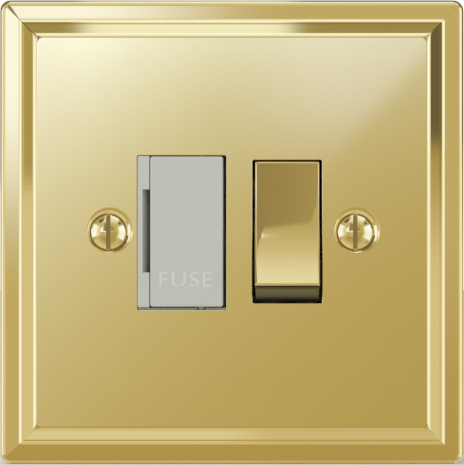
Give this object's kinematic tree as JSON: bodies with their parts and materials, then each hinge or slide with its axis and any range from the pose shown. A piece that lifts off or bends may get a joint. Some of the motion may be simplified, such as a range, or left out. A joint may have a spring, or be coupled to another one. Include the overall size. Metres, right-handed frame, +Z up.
{
  "type": "switched fused spur unit",
  "caption": "Switched fuse connection unit for a wall box: stepped polished brass plate, hinged fuse carrier, brass rocker and screw terminals behind.",
  "frame": {"origin": "centre of the plate, on the wall plane that its rim lies against", "axes": "+Y into the wall, the face looks along -Y; +X to the right as seen from the front; +Z up"},
  "size_m": [0.0956, 0.0298, 0.0956],
  "materials": {
    "plate_brass": "mirror-polished, lacquered",
    "cap_brass": "mirror-polished, lacquered",
    "screw_brass": "polished, plated",
    "terminal_brass": "plain machined",
    "strap_copper_alloy": "plain rolled strip",
    "grey_moulding": "fine satin, light warm grey",
    "base_moulding": "fine matt, light grey",
    "rocker_moulding": "satin black",
    "spring_steel": "bright drawn wire",
    "plated_steel": "zinc plated",
    "silver_alloy": "bright silver alloy",
    "fuse_ceramic": "glazed off-white ceramic, taken as gloss plastic",
    "fuse_plating": "nickel-plated brass"
  },
  "bodies": {
    "unit": {"earth_strap": "strap_copper_alloy", "face_plate": "plate_brass", "fixing_screw_left": "screw_brass", "fixing_screw_right": "screw_brass", "front_moulding": "grey_moulding", "fuse_link": "strap_copper_alloy", "housing_screw_bottom_left": "plated_steel", "housing_screw_top_left": "plated_steel", "housing_screw_top_right": "plated_steel", "live_fixed_contact": "silver_alloy", "load_earth_screw": "plated_steel", "load_earth_terminal": "terminal_brass", "load_live_screw": "plated_steel", "load_live_terminal": "terminal_brass", "load_neutral_screw": "plated_steel", "load_neutral_terminal": "terminal_brass", "neutral_fixed_contact": "silver_alloy", "rear_base": "base_moulding", "supply_earth_screw": "plated_steel", "supply_earth_terminal": "terminal_brass", "supply_live_screw": "plated_steel", "supply_live_terminal": "terminal_brass", "supply_neutral_screw": "plated_steel", "supply_neutral_terminal": "terminal_brass"},
    "rocker": {"live_plunger": "rocker_moulding", "live_plunger_spring": "spring_steel", "neutral_plunger": "rocker_moulding", "neutral_plunger_spring": "spring_steel", "rocker_body": "rocker_moulding", "rocker_cap": "cap_brass"},
    "live_contact": {"live_contact_bar": "strap_copper_alloy", "live_moving_contact": "silver_alloy"},
    "neutral_contact": {"neutral_contact_bar": "strap_copper_alloy", "neutral_moving_contact": "silver_alloy"},
    "fuse_holder": {"fuse_carrier": "grey_moulding", "fuse_tube": "fuse_ceramic", "fuse_cap_upper": "fuse_plating", "fuse_cap_lower": "fuse_plating"}
  },
  "joints": [
    {"name": "rocker_tilt", "type": "hinge", "parent": "unit", "child": "rocker", "pos_m": [0.0114, 0.00297, 0.0001], "axis": [1, 0, 0], "range_deg": [0, 19.2]},
    {"name": "live_contact_tilt", "type": "hinge", "parent": "unit", "child": "live_contact", "pos_m": [0.0078, 0.01155, 0.0001], "axis": [1, 0, 0], "range_deg": [-12, 0]},
    {"name": "neutral_contact_tilt", "type": "hinge", "parent": "unit", "child": "neutral_contact", "pos_m": [0.015, 0.01155, 0.0001], "axis": [1, 0, 0], "range_deg": [-12, 0]},
    {"name": "fuse_carrier_swing", "type": "hinge", "parent": "unit", "child": "fuse_holder", "pos_m": [-0.00626, -0.00363, 0.00007], "axis": [0, 0, 1], "range_deg": [0, 65]}
  ],
  "couplings": [
    {"joint": "live_contact_tilt", "follows": "rocker_tilt", "ratio": -0.625},
    {"joint": "neutral_contact_tilt", "follows": "rocker_tilt", "ratio": -0.625}
  ]
}
